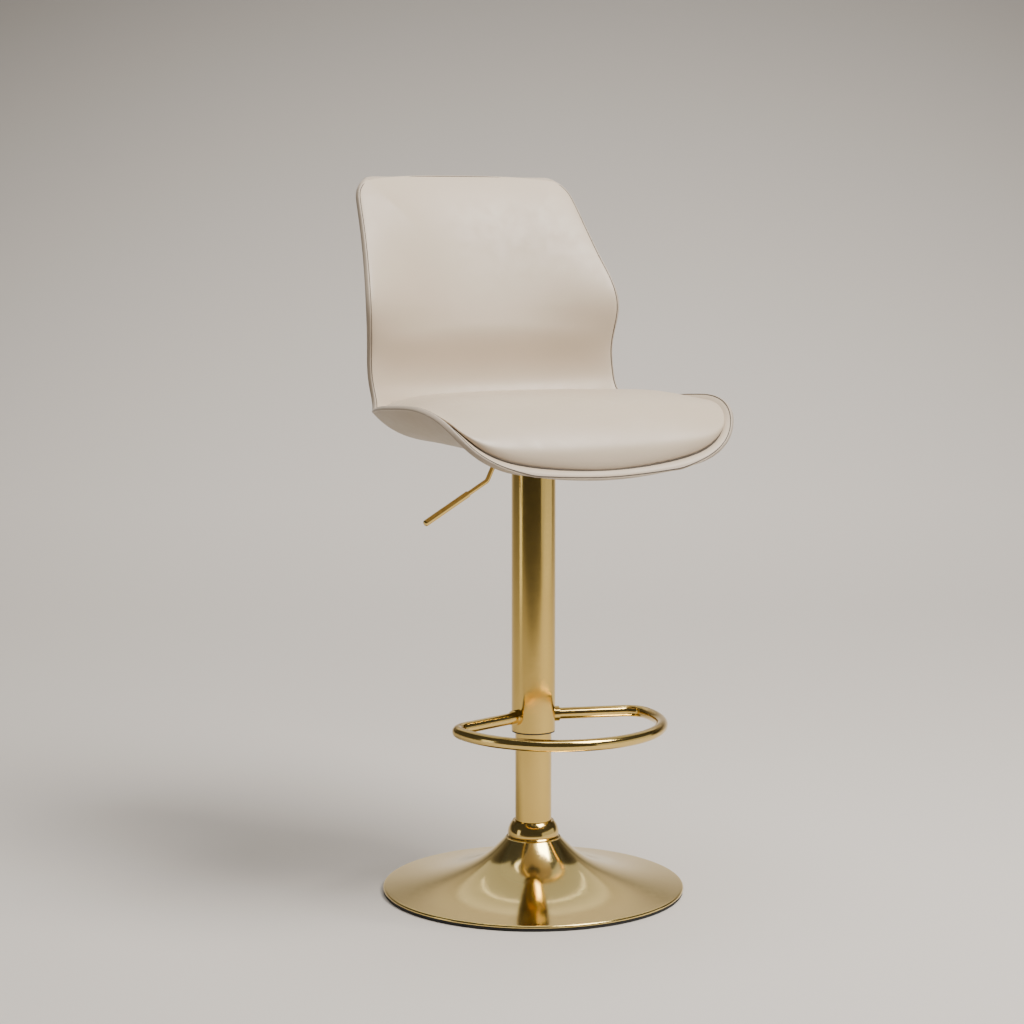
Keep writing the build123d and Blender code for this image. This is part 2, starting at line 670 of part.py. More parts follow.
edge_sections = scoop_sections(0, (OUTER_SKIN[0] - EDGE_PROUD, INNER_SKIN[1] + EDGE_PROUD))
hollow_depths = (OUTER_SKIN[0] - EDGE_CUT, INNER_SKIN[1] + EDGE_CUT)
hollow_sections = scoop_sections(EDGE_WIDTH - SEAM_GAP, hollow_depths, EDGE_WIDTH - SEAM_GAP)
with BuildPart() as edge_piping:
    loft(edge_sections)
    loft(hollow_sections, mode=Mode.SUBTRACT)
pieces["edge_piping"] = edge_piping

under_sections = scoop_sections(0, (-UNDER_DEPTH, INNER_SKIN[1] + CUSHION_CLEARANCE))
with BuildPart() as seat_cushion:
    with BuildSketch(Plane.YZ):
        with BuildLine():
            front = Line((CUSHION_FRONT, CUSHION_BLOCK_Z), (CUSHION_FRONT, CUSHION_FRONT_Z))
            crown = Spline((CUSHION_FRONT, CUSHION_FRONT_Z), *CUSHION_CROWN)
            Polyline(crown @ 1, (CUSHION_BACK, CUSHION_BLOCK_Z), front @ 0)
        make_face()
    extrude(amount=CUSHION_HALF_WIDTH, both=True)
    with BuildSketch(Plane.XY.offset(CUSHION_BLOCK_Z)) as cushion_plan:
        Polygon(
            (-CUSHION_HALF_WIDTH, CUSHION_FRONT),
            (CUSHION_HALF_WIDTH, CUSHION_FRONT),
            (CUSHION_HALF_WIDTH, CUSHION_TAPER_Y),
            (CUSHION_BACK_HALF_WIDTH, CUSHION_BACK),
            (-CUSHION_BACK_HALF_WIDTH, CUSHION_BACK),
            (-CUSHION_HALF_WIDTH, CUSHION_TAPER_Y),
            align=None,
        )
        fillet(cushion_plan.vertices().group_by(Axis.Y)[0], CUSHION_CORNER_R)
    extrude(amount=CUSHION_BLOCK_HEIGHT, mode=Mode.INTERSECT)
    loft(under_sections, mode=Mode.SUBTRACT)
pieces["seat_cushion"] = seat_cushion

os.makedirs("parts", exist_ok=True)
for name, piece in pieces.items():
    piece.part.label = name
    export_step(piece.part, f"parts/{name}.step")
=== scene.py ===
"""Bar stool with footrest: the visible model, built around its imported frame. Metres, +Z up."""

import math

import bmesh
import bpy
import numpy as np
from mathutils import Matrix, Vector


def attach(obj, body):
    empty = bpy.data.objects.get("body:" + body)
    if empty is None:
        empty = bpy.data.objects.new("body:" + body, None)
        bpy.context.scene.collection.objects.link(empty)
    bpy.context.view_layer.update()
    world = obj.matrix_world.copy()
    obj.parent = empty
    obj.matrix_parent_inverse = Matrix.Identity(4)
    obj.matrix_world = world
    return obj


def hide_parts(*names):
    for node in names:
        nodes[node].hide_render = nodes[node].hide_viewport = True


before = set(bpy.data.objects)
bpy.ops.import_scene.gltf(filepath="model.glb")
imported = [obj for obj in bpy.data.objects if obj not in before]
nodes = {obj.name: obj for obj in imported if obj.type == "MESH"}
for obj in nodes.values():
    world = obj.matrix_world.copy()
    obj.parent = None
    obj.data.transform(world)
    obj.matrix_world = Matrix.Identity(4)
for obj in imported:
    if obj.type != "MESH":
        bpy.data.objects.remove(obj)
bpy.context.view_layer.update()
scene = bpy.context.scene
MM = 0.001

# ---------------------------------------------------------------- camera

CAMERA_AZIMUTH = math.radians(-28.0)
CAMERA_DISTANCE = 3.301
CAMERA_HEIGHT = 0.927
CAMERA_SIDE = -0.0293
CAMERA_PITCH = math.radians(6.94)
CAMERA_LENS = 86.06
CAMERA_SENSOR = 36
TOWARDS_CAMERA = Vector((math.sin(CAMERA_AZIMUTH), -math.cos(CAMERA_AZIMUTH), 0))
CAMERA_RIGHT = Vector((math.cos(CAMERA_AZIMUTH), math.sin(CAMERA_AZIMUTH), 0))
UP = Vector((0, 0, 1))


def add_camera():
    data = bpy.data.cameras.new("camera")
    data.sensor_width = CAMERA_SENSOR
    data.lens = CAMERA_LENS
    camera = bpy.data.objects.new("camera", data)
    scene.collection.objects.link(camera)
    camera.location = TOWARDS_CAMERA * CAMERA_DISTANCE + UP * CAMERA_HEIGHT + CAMERA_RIGHT * CAMERA_SIDE
    forward = -TOWARDS_CAMERA * math.cos(CAMERA_PITCH) - UP * math.sin(CAMERA_PITCH)
    camera.rotation_euler = forward.to_track_quat("-Z", "Y").to_euler()
    scene.camera = camera


add_camera()

# ---------------------------------------------------------------- materials


class Shader:
    """A node material with a Principled shader and short calls for the nodes it needs."""

    def __init__(self, name, **constants):
        self.material = bpy.data.materials.new(name)
        self.material.use_nodes = True
        self.tree = self.material.node_tree
        self.shader = self.tree.nodes["Principled BSDF"]
        self.coords = self.tree.nodes.new("ShaderNodeTexCoord").outputs["Object"]
        for socket, value in constants.items():
            self.shader.inputs[socket.replace("_", " ")].default_value = value

    def link(self, output, target):
        self.tree.links.new(output, target)

    def stretched(self, scale):
        """The object's own coordinates, scaled by a factor along each axis."""
        mapping = self.tree.nodes.new("ShaderNodeMapping")
        mapping.inputs["Scale"].default_value = scale
        self.link(self.coords, mapping.inputs["Vector"])
        return mapping.outputs["Vector"]

    def noise(self, scale, detail=3.0, roughness=0.5, vector=None):
        node = self.tree.nodes.new("ShaderNodeTexNoise")
        node.inputs["Scale"].default_value = scale
        node.inputs["Detail"].default_value = detail
        node.inputs["Roughness"].default_value = roughness
        self.link(vector or self.coords, node.inputs["Vector"])
        return node.outputs["Fac"]

    def cells(self, scale):
        """Distance to the nearest border of a pattern of cells."""
        node = self.tree.nodes.new("ShaderNodeTexVoronoi")
        node.feature = "DISTANCE_TO_EDGE"
        node.inputs["Scale"].default_value = scale
        self.link(self.coords, node.inputs["Vector"])
        return node.outputs["Distance"]

    def ranged(self, value, low, high, start=0.3, end=0.7):
        """Takes a value that runs from start to end, and makes it run from low to high."""
        node = self.tree.nodes.new("ShaderNodeMapRange")
        node.inputs["From Min"].default_value = start
        node.inputs["From Max"].default_value = end
        node.inputs["To Min"].default_value = low
        node.inputs["To Max"].default_value = high
        self.link(value, node.inputs["Value"])
        return node.outputs["Result"]

    def mixed(self, factor, first, second):
        """A blend of two constant colours."""
        node = self.tree.nodes.new("ShaderNodeMix")
        node.data_type = "RGBA"
        node.inputs["A"].default_value = (*first, 1)
        node.inputs["B"].default_value = (*second, 1)
        self.link(factor, node.inputs["Factor"])
        return node.outputs["Result"]

    def graded(self, factor, stops):
        """A ramp through several constant colours, each with its place from 0 to 1."""
        node = self.tree.nodes.new("ShaderNodeValToRGB")
        marks = node.color_ramp.elements
        while len(marks) < len(stops):
            marks.new(1.0)
        for mark, (place, colour) in zip(marks, stops):
            mark.position = place
            mark.color = (*colour, 1)
        self.link(factor, node.inputs["Fac"])
        return node.outputs["Color"]

    def bumped(self, height, distance, strength, below=None):
        """Adds a bump to the surface, over the bump that is given as below."""
        node = self.tree.nodes.new("ShaderNodeBump")
        node.inputs["Distance"].default_value = distance
        node.inputs["Strength"].default_value = strength
        self.link(height, node.inputs["Height"])
        if below is not None:
            self.link(below, node.inputs["Normal"])
        self.link(node.outputs["Normal"], self.shader.inputs["Normal"])
        return node.outputs["Normal"]

    def colour(self, output):
        self.link(output, self.shader.inputs["Base Color"])

    def roughness(self, output):
        self.link(output, self.shader.inputs["Roughness"])


# Scales of noise and cells are per metre, and the distances of bumps are in metres. Each finish
# drifts between a light and a dark colour; for coated stock the dark one is this share of it.
COATING_DARKER = 0.78


def leather(name, light, dark, rough=0.44):
    """Smooth grained leather: pebbled cells, fine pores and a slow drift of tone."""
    shader = Shader(name, Sheen_Weight=0.06, Sheen_Roughness=0.45, Specular_IOR_Level=0.5)
    drift = shader.noise(scale=7.0, detail=4.0)
    shader.colour(shader.mixed(shader.ranged(drift, low=0, high=1), dark, light))
    shader.roughness(shader.ranged(shader.noise(scale=60.0), low=rough - 0.05, high=rough + 0.06))
    pores = shader.noise(scale=1500.0, detail=2.0)
    pored = shader.bumped(pores, distance=0.00008, strength=0.30)
    shader.bumped(shader.cells(scale=620.0), distance=0.00022, strength=0.34, below=pored)
    return shader.material


def gold(name, light, dark, rough, wave=0.00003):
    """Gold-plated steel: a slow drift of tone, faint polishing marks and a little uneven gloss."""
    shader = Shader(name, Metallic=1.0)
    drift = shader.noise(scale=14.0)
    shader.colour(shader.mixed(shader.ranged(drift, low=0, high=1), dark, light))
    marks = shader.noise(scale=90.0, detail=4.0, roughness=0.6, vector=shader.stretched((1, 1, 9)))
    shader.roughness(shader.ranged(marks, low=rough * 0.8, high=rough * 1.25))
    shader.bumped(shader.noise(scale=22.0, detail=1.0), distance=wave, strength=0.5)
    return shader.material


def coated(name, colour, rough, metallic=0.0, grain=300.0, depth=0.00008):
    """Plain moulded, painted or plated stock with a fine grain."""
    shader = Shader(name, Metallic=metallic)
    darker = tuple(channel * COATING_DARKER for channel in colour)
    drift = shader.ranged(shader.noise(scale=25.0), low=0, high=1)
    shader.colour(shader.mixed(drift, darker, colour))
    gloss = shader.noise(scale=80.0)
    shader.roughness(shader.ranged(gloss, low=rough * 0.85, high=rough * 1.15))
    shader.bumped(shader.noise(scale=grain), distance=depth, strength=0.5)
    return shader.material


inner_leather = leather("inner_leather", (0.598, 0.488, 0.364), (0.568, 0.460, 0.340))
outer_leather = leather("outer_leather", (0.400, 0.328, 0.240), (0.374, 0.304, 0.220), rough=0.5)
cushion_leather = leather("cushion_leather", (0.590, 0.481, 0.358), (0.560, 0.453, 0.334), rough=0.38)
# The edge band's leather is painted darker than the covers' leather: painted shade for a band that faces
# down and away from the light.
edge_leather = leather("edge_leather", (0.470, 0.388, 0.300), (0.442, 0.362, 0.277), rough=0.46)
# Near-black cord stock: painted shade in the seams' grooves and in the crease round the cushion's foot.
seam_painted_shade = coated("seam_painted_shade", (0.095, 0.074, 0.055), 0.7, grain=900.0)
polished_gold = gold("polished_gold", (0.710, 0.510, 0.170), (0.675, 0.480, 0.152), 0.13)
tube_gold = gold("tube_gold", (0.690, 0.485, 0.146), (0.655, 0.455, 0.130), 0.15)
dish_gold = gold("dish_gold", (0.780, 0.600, 0.228), (0.750, 0.570, 0.208), 0.12, wave=0.00001)
black_steel = coated("black_steel", (0.035, 0.035, 0.038), 0.42)
zinc_steel = coated("zinc_steel", (0.62, 0.62, 0.64), 0.32, metallic=1.0)
black_nylon = coated("black_nylon", (0.03, 0.03, 0.03), 0.55)
base_rubber = coated("base_rubber", (0.022, 0.022, 0.022), 0.75, grain=500.0)
shell_plastic = coated("shell_plastic", (0.50, 0.48, 0.45), 0.6)
cast_iron = coated("cast_iron", (0.16, 0.16, 0.16), 0.75, metallic=0.6, grain=200.0, depth=0.0003)
chrome = coated("chrome", (0.80, 0.80, 0.82), 0.12, metallic=1.0)

# ---------------------------------------------------------------- mesh helpers

CORD_SIDES = 8
# Keeps a cord's sideways direction from being zero where the cord runs straight up.
NEVER_ZERO = 1e-6


def smooth_object(name, verts, faces, material):
    mesh = bpy.data.meshes.new(name)
    mesh.from_pydata([tuple(v) for v in verts], [], faces)
    mesh.polygons.foreach_set("use_smooth", [True] * len(mesh.polygons))
    mesh.materials.append(material)
    piece = bpy.data.objects.new(name, mesh)
    scene.collection.objects.link(piece)
    return piece


def mesh_piece(name, verts, faces, material, body, replaced=(), weld=0.0):
    """A closed mesh that rides on a body and stands for the CAD nodes it replaces.

    Points that lie within the weld distance of each other become one.
    """
    piece = smooth_object(name, verts, faces, material)
    work = bmesh.new()
    work.from_mesh(piece.data)
    if weld:
        bmesh.ops.remove_doubles(work, verts=work.verts, dist=weld)
    bmesh.ops.recalc_face_normals(work, faces=work.faces)
    work.to_mesh(piece.data)
    work.free()
    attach(piece, body)
    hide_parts(*replaced)
    return piece


def grid_faces(rows, columns, offset=0, closed_rows=False, closed_columns=False):
    """Faces between a grid's verts, which are listed row by row, from the vert numbered offset.

    In a closed direction the last line is joined to the first.
    """
    faces = []
    for i in range(rows if closed_rows else rows - 1):
        here = offset + i * columns
        above = offset + (i + 1) % rows * columns
        for j in range(columns if closed_columns else columns - 1):
            k = (j + 1) % columns
            faces.append((here + j, here + k, above + k, above + j))
    return faces


def ring_faces(rows, columns):
    return grid_faces(rows, columns, closed_rows=True, closed_columns=True)


def unit(vectors):
    return vectors / np.linalg.norm(vectors, axis=-1, keepdims=True)


def smooth_step(value, start, end):
    share = np.clip((value - start) / (end - start), 0, 1)
    return share * share * (3 - 2 * share)


def spline_through(knots, values, at):
    """Natural cubic spline through values at knots, for one or many columns."""
    knots = np.asarray(knots, float)
    values = np.asarray(values, float)
    values = values.reshape(len(knots), -1)
    gaps = np.diff(knots)
    count = len(knots)
    matrix = np.eye(count)
    right = np.zeros_like(values)
    for i in range(1, count - 1):
        matrix[i, i - 1 : i + 2] = gaps[i - 1], 2 * (gaps[i - 1] + gaps[i]), gaps[i]
        rises = (values[i + 1] - values[i]) / gaps[i], (values[i] - values[i - 1]) / gaps[i - 1]
        right[i] = 6 * (rises[0] - rises[1])
    bends = np.linalg.solve(matrix, right)
    at = np.asarray(at, float)
    cell = np.clip(np.searchsorted(knots, at) - 1, 0, count - 2)
    gap = gaps[cell][..., None]
    after = ((at - knots[cell]) / gaps[cell])[..., None]
    before = 1 - after
    bend = (before**3 - before) * bends[cell] + (after**3 - after) * bends[cell + 1]
    return before * values[cell] + after * values[cell + 1] + bend * gap**2 / 6


def cord(centres, radius):
    """Verts and faces of a thin round cord along a closed loop of points."""
    tangents = unit(np.roll(centres, -1, 0) - np.roll(centres, 1, 0))
    sideways = unit(np.cross(tangents, (0.0, 0.0, 1.0)) + NEVER_ZERO)
    upright = np.cross(sideways, tangents)
    verts = []
    for side in range(CORD_SIDES):
        angle = 2 * math.pi * side / CORD_SIDES
        verts.append(centres + (sideways * math.cos(angle) + upright * math.sin(angle)) * radius)
    return np.concatenate(verts), ring_faces(CORD_SIDES, len(centres))


# ---------------------------------------------------------------- the scoop's surface

# Stations from the front lip to the top of the back, in millimetres: the middle (y, z), the
# half width, the rim (y, z), and how late the section turns up towards its rim.
STATIONS = np.array([
    (-205, 589.5, 109, -203, 597, 1.8),
    (-198, 598, 155, -200.5, 610, 2.2),
    (-181, 602.5, 192, -189, 634, 2.9),
    (-153, 608.5, 212.5, -163, 664, 3.6),
    (-105, 616, 224, -114, 681, 3.8),
    (-40, 621, 229, -44, 680.5, 4),
    (30, 624, 220, 30, 673, 4.9),
    (85, 629.5, 205, 72, 667.5, 4.9),
    (122, 654, 193, 100, 676, 3.1),
    (143, 695, 192, 115, 703, 2.4),
    (157, 745, 192, 118, 745, 2.3),
    (172, 798, 197, 108, 798, 2.3),
    (193, 860, 187, 138, 860, 2.3),
    (218, 925, 175, 180, 922, 2.3),
    (236, 965, 168, 208, 962, 2.6),
    (242, 980, 165, 218, 978, 3),
], float)
# The back's two top corners: their radius, and the share of it, going up, at which the top edge
# cuts the arc off.
TOP_CORNER_R = 30.0
TOP_CORNER_END = 0.965
RIM_STEPS = np.linalg.norm(np.diff(STATIONS[:, 2:5], axis=0), axis=1)
RIM_KNOTS = np.concatenate([[0], np.cumsum(RIM_STEPS)])
RIM_LENGTH = RIM_KNOTS[-1]
TOP_Z = STATIONS[-1, 4]

SIDE_COUNT = 360
END_COUNT = 180
RIM_COUNT = 900
RIM_SMOOTHING = 12
# Rim points whose distances are worked out at once, to keep the arrays small.
DISTANCE_BATCH = 60


def stations_at(s):
    """The stations' six values at shares s of the scoop's length."""
    return spline_through(RIM_KNOTS, STATIONS, s * RIM_LENGTH)


def scoop(s, t):
    """The scoop's middle surface: s runs lip to top (0..1), t across (-1..1). Metres."""
    s, t = np.broadcast_arrays(np.asarray(s, float), np.asarray(t, float))
    centre_y, centre_z, half, rim_y, rim_z, power = np.moveaxis(stations_at(s), -1, 0)
    turn = np.clip((rim_z - (TOP_Z - TOP_CORNER_R)) / TOP_CORNER_R, 0, 1) * TOP_CORNER_END
    half = half - TOP_CORNER_R * (1 - np.sqrt(1 - turn**2))
    share = np.abs(t) ** power
    point = [t * half, centre_y + (rim_y - centre_y) * share, centre_z + (rim_z - centre_z) * share]
    return np.stack(point, -1) * MM


def scoop_normal(s, t, step=1e-4):
    """Unit normal of the scoop, pointing at the sitter."""
    s_low, s_high = np.clip(s - step, 0, 1), np.clip(s + step, 0, 1)
    t_low, t_high = np.clip(t - step, -1, 1), np.clip(t + step, -1, 1)
    along = scoop(s_high, t) - scoop(s_low, t)
    across = scoop(s, t_high) - scoop(s, t_low)
    return unit(np.cross(across, along))


def clustered(count, amount):
    """count values from 0 to 1, closer together at both ends as amount goes from 0 to 1."""
    even = np.linspace(0, 1, count)
    return (1 - amount) * even + amount * (0.5 - 0.5 * np.cos(np.pi * even))


def outline():
    """(s, t) once round the scoop's boundary: lip, left side, top, right side."""
    along = clustered(SIDE_COUNT, amount=0.5)
    across = 2 * clustered(END_COUNT, amount=0.5) - 1
    lip = np.stack([np.zeros_like(across), across], -1)[:-1]
    left = np.stack([along, np.ones_like(along)], -1)[:-1]
    top = np.stack([np.ones_like(across), -across], -1)[:-1]
    right = np.stack([1 - along, -np.ones_like(along)], -1)[:-1]
    return np.concatenate([lip, left, top, right])


def smoothed_loop(values, passes):
    for _ in range(passes):
        values = 0.25 * np.roll(values, 1, 0) + 0.5 * values + 0.25 * np.roll(values, -1, 0)
    return values


def resampled_loop(rows, count):
    """count rows at even steps round a closed loop, whose first three columns are its points."""
    closed = np.concatenate([rows, rows[:1]])
    steps = np.linalg.norm(np.diff(closed[:, :3], axis=0), axis=1)
    place = np.concatenate([[0], np.cumsum(steps)])
    even = np.linspace(0, place[-1], count, endpoint=False)
    return np.stack([np.interp(even, place, column) for column in closed.T], -1)


def rim():
    """The scoop's rim at even steps: its points, its normals, its outward directions and its s."""
    s, t = outline().T
    loop = np.concatenate([scoop(s, t), scoop_normal(s, t), s[:, None]], 1)
    loop = smoothed_loop(resampled_loop(loop, RIM_COUNT), RIM_SMOOTHING)
    points, normals, places = loop[:, :3], unit(loop[:, 3:6]), loop[:, 6]
    tangents = unit(np.roll(points, -1, 0) - np.roll(points, 1, 0))
    outward = unit(np.cross(tangents, normals))
    if np.mean(outward[:, 0] * points[:, 0]) < 0:
        outward = -outward
    return points, normals, outward, places


rim_points, rim_normals, rim_outward, rim_s = rim()


def edge_distance(points):
    """Distance in metres from each point to the rim."""
    flat = points.reshape(-1, 3)
    nearest = np.full(len(flat), np.inf)
    for start in range(0, len(rim_points), DISTANCE_BATCH):
        some = rim_points[start : start + DISTANCE_BATCH]
        gap = np.linalg.norm(flat[:, None] - some[None], axis=2).min(1)
        nearest = np.minimum(nearest, gap)
    return nearest.reshape(points.shape[:-1])


# ---------------------------------------------------------------- covers, core and edge band

PANEL_ROWS = 210
PANEL_COLUMNS = 130
PANEL_INSET = 1.8 * MM

# The edge band's middle lies below the scoop's surface at the pan and above it at the back.
EDGE_SIDES = 20
EDGE_HALF = 3.8 * MM
EDGE_REACH = 2.2 * MM
EDGE_ROUNDNESS = 0.7
EDGE_MIDDLE_PAN = -1.4 * MM
EDGE_MIDDLE_BACK = 1.6 * MM
EDGE_TURN_START = 0.40
EDGE_TURN_END = 0.60
# A near-black cord in the groove where the band meets the inner cover paints the groove's shade.
SEAM_INSET = 2.3 * MM
SEAM_HEIGHT = 3.85 * MM
SEAM_R = 0.65 * MM

CORE_HALF = 0.9 * MM
CORE_GAP = 0.1 * MM
COVER_HALF = 3.4 * MM
INNER_SWELL = 1.2 * MM
INNER_SWELL_REACH = 2.5 * MM
OUTER_SWELL = 0.3 * MM
OUTER_SWELL_REACH = 15.0 * MM

# The back's padding and the fold below it, by their place along the scoop (s).
PAD_START = 0.580
PAD_END = 0.672
PAD_DEPTH = 22.0 * MM
PAD_REACH = 52.0 * MM
FOLD_AT = 0.560
FOLD_WIDTH = 0.014
FOLD_DEPTH = 4.0 * MM


def panel(name, low_depth, high_depth, material, replaced):
    """A closed layer of the scoop between two depths.

    Each depth is a function of the distance to the rim and of the place along the scoop.
    """
    inset_s = PANEL_INSET / (RIM_LENGTH * MM)
    s = inset_s + clustered(PANEL_ROWS, amount=0.75)[:, None] * (1 - 2 * inset_s)
    half = stations_at(s[:, 0])[:, 2]
    inset_t = 1 - PANEL_INSET / (half * MM)
    t = (2 * clustered(PANEL_COLUMNS, amount=0.75) - 1)[None, :] * inset_t[:, None]
    s = np.broadcast_to(s, t.shape)
    middle = scoop(s, t)
    normal = scoop_normal(s, t)
    distance = edge_distance(middle)
    low = middle + normal * low_depth(distance, s)[..., None]
    high = middle + normal * high_depth(distance, s)[..., None]
    verts = np.concatenate([low.reshape(-1, 3), high.reshape(-1, 3)])
    size = PANEL_ROWS * PANEL_COLUMNS
    faces = grid_faces(PANEL_ROWS, PANEL_COLUMNS) + grid_faces(PANEL_ROWS, PANEL_COLUMNS, size)
    number = np.arange(size).reshape(PANEL_ROWS, PANEL_COLUMNS)
    border = [number[0], number[1:, -1], number[-1, -2::-1], number[-2:0:-1, 0]]
    border = np.concatenate(border).tolist()
    for a, b in zip(border, border[1:] + border[:1]):
        faces.append((a, b, b + size, a + size))
    return mesh_piece(name, verts, faces, material, "seat", replaced)


def swell(distance, reach):
    """Rises from 0 at a seam to 1 well inside it."""
    return 1 - np.exp(-np.maximum(distance - PANEL_INSET, 0) / reach)


def edge_middle(s):
    """Depth of the edge band's middle."""
    turned = smooth_step(s, EDGE_TURN_START, EDGE_TURN_END)
    return EDGE_MIDDLE_PAN + (EDGE_MIDDLE_BACK - EDGE_MIDDLE_PAN) * turned


def inner_face(distance, s):
    """The cover's face on the sitter's side, which swells over the padding of the back."""
    padding = PAD_DEPTH * smooth_step(s, PAD_START, PAD_END)
    fold = FOLD_DEPTH * np.exp(-(((s - FOLD_AT) / FOLD_WIDTH) ** 2))
    cover = edge_middle(s) + COVER_HALF + INNER_SWELL * swell(distance, INNER_SWELL_REACH)
    return cover + (padding + fold) * swell(distance, PAD_REACH)


def outer_face(distance, s):
    """The cover's face on the floor's side."""
    return edge_middle(s) - COVER_HALF - OUTER_SWELL * swell(distance, OUTER_SWELL_REACH)


def level(depth):
    """A depth that is the same all over."""
    return lambda distance, s: np.full_like(distance, depth)


def edge_band():
    """The edge band: a rounded strip sewn on all round the rim."""
    verts = []
    centre = rim_points - rim_outward * EDGE_REACH + rim_normals * edge_middle(rim_s)[:, None]
    for side in range(EDGE_SIDES):
        angle = 2 * math.pi * side / EDGE_SIDES
        across = math.copysign(abs(math.cos(angle)) ** EDGE_ROUNDNESS, math.cos(angle))
        through = math.copysign(abs(math.sin(angle)) ** EDGE_ROUNDNESS, math.sin(angle))
        verts.append(centre + rim_outward * EDGE_REACH * across + rim_normals * EDGE_HALF * through)
    faces = ring_faces(EDGE_SIDES, RIM_COUNT)
    verts = np.concatenate(verts)
    # The band wears the darker leather, which paints its shade.
    mesh_piece("edge_band", verts, faces, edge_leather, "seat", ["edge_piping"])


def edge_seam_shade():
    """A thin near-black cord sunk where the edge band meets the inner cover: painted shade in the seam's
    groove.
    """
    depth = edge_middle(rim_s)[:, None] + SEAM_HEIGHT
    verts, faces = cord(rim_points - rim_outward * SEAM_INSET + rim_normals * depth, SEAM_R)
    mesh_piece("edge_seam_shade", verts, faces, seam_painted_shade, "seat")


above_core = level(CORE_HALF + CORE_GAP)
below_core = level(-CORE_HALF - CORE_GAP)
inner_cover = panel(
    "inner_cover_leather", above_core, inner_face, inner_leather, ["inner_cover"]
)
panel("outer_cover_leather", outer_face, below_core, outer_leather, ["outer_cover"])
panel("shell_core", level(-CORE_HALF), level(CORE_HALF), shell_plastic, ["seat_shell"])
edge_band()
edge_seam_shade()

# ---------------------------------------------------------------- cushion

# The cushion's outline in plan, from the middle of its front round to the middle of its back,
# and the height of its crown from front to back. These and the sizes below are in millimetres.
CUSHION_OUTLINE = (
    (0, -201.5), (60, -200), (110, -197.5), (150, -194), (181, -184.5), (199, -165),
    (209.5, -130), (213, -85), (211.5, -40), (206, 5), (198, 50), (183, 85), (160, 108),
    (118, 125), (60, 132), (0, 135),
)
CUSHION_CROWN = ((-200, 646), (-150, 674), (-100, 686), (-40, 690), (30, 686.5), (90, 686), (140, 691))
CUSHION_MIDDLE = np.array((0.0, -30.0))
CUSHION_COLUMNS = 260
CUSHION_RINGS = 48
CUSHION_SQUARENESS = 9.5
CUSHION_LEAST = 2.0
CUSHION_TUCK = 0.972
CUSHION_LIFT = 0.5
CUSHION_WELD = 0.05
# Height of the cushion's upright side, which grows from the front's start (y) to its end.
CUSHION_SIDE = 3.5
CUSHION_FRONT_SIDE = 11.0
CUSHION_FRONT_START = -165
CUSHION_FRONT_END = -198
CUSHION_SIDE_RINGS = 6
# The near-black cord round the cushion's foot paints the crease's shade.
CUSHION_SEAM_COUNT = 520
CUSHION_SEAM_R = 0.9
CUSHION_SEAM_SCALE = 0.990
CUSHION_SEAM_LIFT = 1.0
# The cushion lies on this share of the scoop's length, over a cover that reaches this height.
PAN_SHARE = 0.62
PAN_ROWS = 700
PAN_COVER = 4.0
# Points by which the closed outline's spline runs over its own ends.
OVERLAP = 4


def inner_height(x, y):
    """Height of the scoop's inner face over plan points of the seat, in millimetres."""
    nearest = np.full(np.shape(x), np.inf)
    height = np.zeros(np.shape(x))
    for centre_y, centre_z, half, rim_y, rim_z, power in stations_at(np.linspace(0, PAN_SHARE, PAN_ROWS)):
        share = np.clip(np.abs(x) / half, 0, 1) ** power
        gap = np.abs(centre_y + (rim_y - centre_y) * share - y)
        here = centre_z + (rim_z - centre_z) * share
        height = np.where(gap < nearest, here, height)
        nearest = np.minimum(gap, nearest)
    return height + PAN_COVER


def cushion_rings(count, rings):
    """Plan points, base and top heights on rings from the middle (0) to the outline (1)."""
    half = np.array(CUSHION_OUTLINE, float)
    control = np.concatenate([half, half[::-1][1:-1] * (-1, 1)])
    closed = np.concatenate([control[-OVERLAP:], control, control[: OVERLAP + 1]])
    at = np.linspace(0, len(control), count, endpoint=False)
    edge = spline_through(np.arange(-OVERLAP, len(control) + OVERLAP + 1), closed, at)
    crown_y, crown_z = np.array(CUSHION_CROWN, float).T
    for ring in range(rings + 1):
        r = math.sin(0.5 * math.pi * ring / rings)
        plan = CUSHION_MIDDLE + (edge - CUSHION_MIDDLE) * r
        x, y = plan.T
        base = inner_height(x, y)
        dome = spline_through(crown_y, crown_z, y)[:, 0]
        fill = math.sqrt(1 - r**CUSHION_SQUARENESS)
        in_front = smooth_step(y, CUSHION_FRONT_START, CUSHION_FRONT_END)
        lowest = base + CUSHION_SIDE + (CUSHION_FRONT_SIDE - CUSHION_SIDE) * in_front
        yield plan, base, lowest + np.maximum(dome - lowest, CUSHION_LEAST) * fill


def cushion():
    """A crowned foam cushion lying in the scoop, its edges rolled under."""
    tops, bottoms = [], []
    for plan, base, top in cushion_rings(CUSHION_COLUMNS, CUSHION_RINGS):
        tops.append(np.column_stack([plan, top]))
        tucked = CUSHION_MIDDLE + (plan - CUSHION_MIDDLE) * CUSHION_TUCK
        bottoms.append(np.column_stack([tucked, base + CUSHION_LIFT]))
    sides = []
    for ring in range(1, CUSHION_SIDE_RINGS):
        turn = 0.5 * math.pi * ring / CUSHION_SIDE_RINGS
        out, up = math.sin(turn), 1 - math.cos(turn)
        sides.append(bottoms[-1] + (tops[-1] - bottoms[-1]) * (out, out, up))
    rings = bottoms + sides + tops[::-1]
    piece = mesh_piece(
        "seat_cushion_leather",
        np.concatenate(rings) * MM,
        grid_faces(len(rings), CUSHION_COLUMNS, closed_columns=True),
        cushion_leather,
        "seat",
        ["seat_cushion"],
        weld=CUSHION_WELD * MM,
    )


